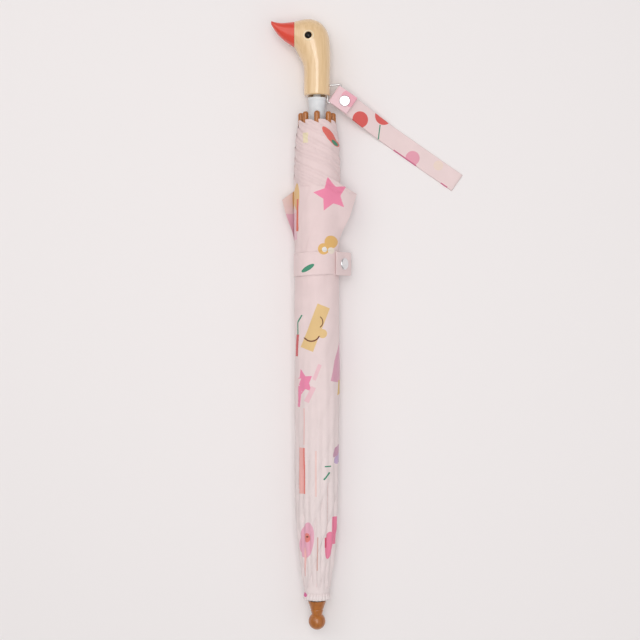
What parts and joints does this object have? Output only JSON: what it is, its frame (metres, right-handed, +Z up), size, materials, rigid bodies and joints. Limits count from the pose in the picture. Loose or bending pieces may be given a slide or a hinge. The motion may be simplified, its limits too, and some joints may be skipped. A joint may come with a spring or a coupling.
{
  "type": "children's stick umbrella",
  "caption": "Child's stick umbrella, furled and tied, with a carved duck's head handle, wooden tips and a wrist strap closed by a stud; the runner opens the frame.",
  "frame": {"origin": "on the shaft's axis at the middle of the grip", "axes": "+Y along the shaft to the head; +Z up from the surface it lies on; +X the side the wrist strap lies on, away from the beak"},
  "size_m": [0.1934, 0.61, 0.0449],
  "materials": {
    "pale_wood": "clear gloss lacquer",
    "beak_paint": "gloss paint",
    "bead_black": "polished",
    "shaft_steel": "satin",
    "white_plastic": "satin",
    "brown_wood": "varnished",
    "rib_rod": "satin enamel",
    "wire": "polished",
    "cloth": "printed woven cloth",
    "webbing": "printed woven cloth",
    "spring": "bright"
  },
  "bodies": {
    "shaft": {"shaft_tube": "shaft_steel", "duck_head": "pale_wood", "beak": "beak_paint", "bead_eyes": "bead_black", "crown_notch": "white_plastic", "crown_wire": "wire", "crown_rosette": "cloth", "ferrule_tip": "brown_wood", "canopy_folds": "cloth"},
    "runner": {"runner": "white_plastic"},
    "top_catch": {"top_catch": "spring"},
    "wrist_ring": {"wrist_ring": "wire"},
    "wrist_strap": {"wrist_strap": "webbing", "wrist_snap_stud": "wire"},
    "wrist_tab": {"wrist_tab": "webbing", "wrist_snap_cap": "wire"},
    "tie_tab": {"tie_tab": "cloth", "tie_snap_cap": "wire"},
    "rib_1": {"rib_1": "rib_rod", "rib_tip_1": "brown_wood"},
    "stretcher_1": {"stretcher_1": "rib_rod"},
    "gore_1": {"gore_1": "cloth"},
    "rib_2": {"rib_2": "rib_rod", "rib_tip_2": "brown_wood", "tie_band": "cloth", "tie_snap_stud": "wire"},
    "stretcher_2": {"stretcher_2": "rib_rod"},
    "gore_2": {"gore_2": "cloth"},
    "rib_3": {"rib_3": "rib_rod", "rib_tip_3": "brown_wood"},
    "stretcher_3": {"stretcher_3": "rib_rod"},
    "gore_3": {"gore_3": "cloth"},
    "rib_4": {"rib_4": "rib_rod", "rib_tip_4": "brown_wood"},
    "stretcher_4": {"stretcher_4": "rib_rod"},
    "gore_4": {"gore_4": "cloth"},
    "rib_5": {"rib_5": "rib_rod", "rib_tip_5": "brown_wood"},
    "stretcher_5": {"stretcher_5": "rib_rod"},
    "gore_5": {"gore_5": "cloth"},
    "rib_6": {"rib_6": "rib_rod", "rib_tip_6": "brown_wood"},
    "stretcher_6": {"stretcher_6": "rib_rod"},
    "gore_6": {"gore_6": "cloth"},
    "rib_7": {"rib_7": "rib_rod", "rib_tip_7": "brown_wood"},
    "stretcher_7": {"stretcher_7": "rib_rod"},
    "gore_7": {"gore_7": "cloth"},
    "rib_8": {"rib_8": "rib_rod", "rib_tip_8": "brown_wood"},
    "stretcher_8": {"stretcher_8": "rib_rod"},
    "gore_8": {"gore_8": "cloth"}
  },
  "joints": [
    {"name": "runner_slide", "type": "slide", "parent": "shaft", "child": "runner", "axis": [0, -1, 0], "range_m": [0, 0.26813], "deforming": ["canopy_folds"]},
    {"name": "top_catch_press", "type": "slide", "parent": "shaft", "child": "top_catch", "axis": [-1, 0, 0], "range_m": [0, 0.0016], "stiffness_N_per_m": 300},
    {"name": "rib_1_hinge", "type": "hinge", "parent": "shaft", "child": "rib_1", "pos_m": [0, -0.508, 0.0107], "axis": [1, 0, 0], "range_deg": [0, 65.01]},
    {"name": "stretcher_1_hinge", "type": "hinge", "parent": "rib_1", "child": "stretcher_1", "pos_m": [0, -0.278, 0.0121], "axis": [-1, 0, 0], "range_deg": [0, 130.02]},
    {"name": "gore_1_spread", "type": "hinge", "parent": "rib_1", "child": "gore_1", "pos_m": [0.00443, -0.508, 0.0107], "axis": [-0.3298, -0.5072, -0.7962], "range_deg": [0, 47.47], "deforming": ["gore_1"]},
    {"name": "rib_2_hinge", "type": "hinge", "parent": "shaft", "child": "rib_2", "pos_m": [0.00757, -0.508, 0.00757], "axis": [0.7071, 0, -0.7071], "range_deg": [0, 65.01], "deforming": ["tie_band"]},
    {"name": "stretcher_2_hinge", "type": "hinge", "parent": "rib_2", "child": "stretcher_2", "pos_m": [0.00856, -0.278, 0.00856], "axis": [-0.7071, 0, 0.7071], "range_deg": [0, 130.02]},
    {"name": "gore_2_spread", "type": "hinge", "parent": "rib_2", "child": "gore_2", "pos_m": [0.0107, -0.508, 0.00443], "axis": [-0.7962, -0.5072, -0.3298], "range_deg": [0, 47.47], "deforming": ["gore_2"]},
    {"name": "rib_3_hinge", "type": "hinge", "parent": "shaft", "child": "rib_3", "pos_m": [0.0107, -0.508, 0], "axis": [0, 0, -1], "range_deg": [0, 65.01]},
    {"name": "stretcher_3_hinge", "type": "hinge", "parent": "rib_3", "child": "stretcher_3", "pos_m": [0.0121, -0.278, 0], "axis": [0, 0, 1], "range_deg": [0, 130.02]},
    {"name": "gore_3_spread", "type": "hinge", "parent": "rib_3", "child": "gore_3", "pos_m": [0.0107, -0.508, -0.00443], "axis": [-0.7962, -0.5072, 0.3298], "range_deg": [0, 47.47], "deforming": ["gore_3"]},
    {"name": "rib_4_hinge", "type": "hinge", "parent": "shaft", "child": "rib_4", "pos_m": [0.00757, -0.508, -0.00757], "axis": [-0.7071, 0, -0.7071], "range_deg": [0, 65.01]},
    {"name": "stretcher_4_hinge", "type": "hinge", "parent": "rib_4", "child": "stretcher_4", "pos_m": [0.00856, -0.278, -0.00856], "axis": [0.7071, 0, 0.7071], "range_deg": [0, 130.02]},
    {"name": "gore_4_spread", "type": "hinge", "parent": "rib_4", "child": "gore_4", "pos_m": [0.00443, -0.508, -0.0107], "axis": [-0.3298, -0.5072, 0.7962], "range_deg": [0, 47.47], "deforming": ["gore_4"]},
    {"name": "rib_5_hinge", "type": "hinge", "parent": "shaft", "child": "rib_5", "pos_m": [0, -0.508, -0.0107], "axis": [-1, 0, 0], "range_deg": [0, 65.01]},
    {"name": "stretcher_5_hinge", "type": "hinge", "parent": "rib_5", "child": "stretcher_5", "pos_m": [0, -0.278, -0.0121], "axis": [1, 0, 0], "range_deg": [0, 130.02]},
    {"name": "gore_5_spread", "type": "hinge", "parent": "rib_5", "child": "gore_5", "pos_m": [-0.00443, -0.508, -0.0107], "axis": [0.3298, -0.5072, 0.7962], "range_deg": [0, 47.47], "deforming": ["gore_5"]},
    {"name": "rib_6_hinge", "type": "hinge", "parent": "shaft", "child": "rib_6", "pos_m": [-0.00757, -0.508, -0.00757], "axis": [-0.7071, 0, 0.7071], "range_deg": [0, 65.01]},
    {"name": "stretcher_6_hinge", "type": "hinge", "parent": "rib_6", "child": "stretcher_6", "pos_m": [-0.00856, -0.278, -0.00856], "axis": [0.7071, 0, -0.7071], "range_deg": [0, 130.02]},
    {"name": "gore_6_spread", "type": "hinge", "parent": "rib_6", "child": "gore_6", "pos_m": [-0.0107, -0.508, -0.00443], "axis": [0.7962, -0.5072, 0.3298], "range_deg": [0, 47.47], "deforming": ["gore_6"]},
    {"name": "rib_7_hinge", "type": "hinge", "parent": "shaft", "child": "rib_7", "pos_m": [-0.0107, -0.508, 0], "axis": [0, 0, 1], "range_deg": [0, 65.01]},
    {"name": "stretcher_7_hinge", "type": "hinge", "parent": "rib_7", "child": "stretcher_7", "pos_m": [-0.0121, -0.278, 0], "axis": [0, 0, -1], "range_deg": [0, 130.02]},
    {"name": "gore_7_spread", "type": "hinge", "parent": "rib_7", "child": "gore_7", "pos_m": [-0.0107, -0.508, 0.00443], "axis": [0.7962, -0.5072, -0.3298], "range_deg": [0, 47.47], "deforming": ["gore_7"]},
    {"name": "rib_8_hinge", "type": "hinge", "parent": "shaft", "child": "rib_8", "pos_m": [-0.00757, -0.508, 0.00757], "axis": [0.7071, 0, 0.7071], "range_deg": [0, 65.01]},
    {"name": "stretcher_8_hinge", "type": "hinge", "parent": "rib_8", "child": "stretcher_8", "pos_m": [-0.00856, -0.278, 0.00856], "axis": [-0.7071, 0, -0.7071], "range_deg": [0, 130.02]},
    {"name": "gore_8_spread", "type": "hinge", "parent": "rib_8", "child": "gore_8", "pos_m": [-0.00443, -0.508, 0.0107], "axis": [0.3298, -0.5072, -0.7962], "range_deg": [0, 47.47], "deforming": ["gore_8"]},
    {"name": "wrist_ring_swing", "type": "hinge", "parent": "shaft", "child": "wrist_ring", "pos_m": [0.0106, -0.012, 0], "axis": [0, -1, 0], "range_deg": [0, 10]},
    {"name": "wrist_strap_swing", "type": "hinge", "parent": "wrist_ring", "child": "wrist_strap", "pos_m": [0.0182, -0.0146, 0], "axis": [-0.5707, -0.8211, 0], "range_deg": [0, 45]},
    {"name": "wrist_tab_lift", "type": "hinge", "parent": "wrist_strap", "child": "wrist_tab", "pos_m": [0.0182, -0.0146, 0], "axis": [-0.5707, -0.8211, 0], "range_deg": [0, 25]},
    {"name": "tie_tab_lift", "type": "hinge", "parent": "rib_2", "child": "tie_tab", "pos_m": [0.01873, -0.1841, 0.01608], "axis": [0, -1, 0], "range_deg": [0, 60]}
  ],
  "couplings": [
    {"joint": "rib_1_hinge", "follows": "runner_slide", "rad_per_m": 4.231},
    {"joint": "stretcher_1_hinge", "follows": "runner_slide", "rad_per_m": 8.4619},
    {"joint": "gore_1_spread", "follows": "runner_slide", "rad_per_m": 3.0894},
    {"joint": "rib_2_hinge", "follows": "runner_slide", "rad_per_m": 4.231},
    {"joint": "stretcher_2_hinge", "follows": "runner_slide", "rad_per_m": 8.4619},
    {"joint": "gore_2_spread", "follows": "runner_slide", "rad_per_m": 3.0894},
    {"joint": "rib_3_hinge", "follows": "runner_slide", "rad_per_m": 4.231},
    {"joint": "stretcher_3_hinge", "follows": "runner_slide", "rad_per_m": 8.4619},
    {"joint": "gore_3_spread", "follows": "runner_slide", "rad_per_m": 3.0894},
    {"joint": "rib_4_hinge", "follows": "runner_slide", "rad_per_m": 4.231},
    {"joint": "stretcher_4_hinge", "follows": "runner_slide", "rad_per_m": 8.4619},
    {"joint": "gore_4_spread", "follows": "runner_slide", "rad_per_m": 3.0894},
    {"joint": "rib_5_hinge", "follows": "runner_slide", "rad_per_m": 4.231},
    {"joint": "stretcher_5_hinge", "follows": "runner_slide", "rad_per_m": 8.4619},
    {"joint": "gore_5_spread", "follows": "runner_slide", "rad_per_m": 3.0894},
    {"joint": "rib_6_hinge", "follows": "runner_slide", "rad_per_m": 4.231},
    {"joint": "stretcher_6_hinge", "follows": "runner_slide", "rad_per_m": 8.4619},
    {"joint": "gore_6_spread", "follows": "runner_slide", "rad_per_m": 3.0894},
    {"joint": "rib_7_hinge", "follows": "runner_slide", "rad_per_m": 4.231},
    {"joint": "stretcher_7_hinge", "follows": "runner_slide", "rad_per_m": 8.4619},
    {"joint": "gore_7_spread", "follows": "runner_slide", "rad_per_m": 3.0894},
    {"joint": "rib_8_hinge", "follows": "runner_slide", "rad_per_m": 4.231},
    {"joint": "stretcher_8_hinge", "follows": "runner_slide", "rad_per_m": 8.4619},
    {"joint": "gore_8_spread", "follows": "runner_slide", "rad_per_m": 3.0894}
  ]
}
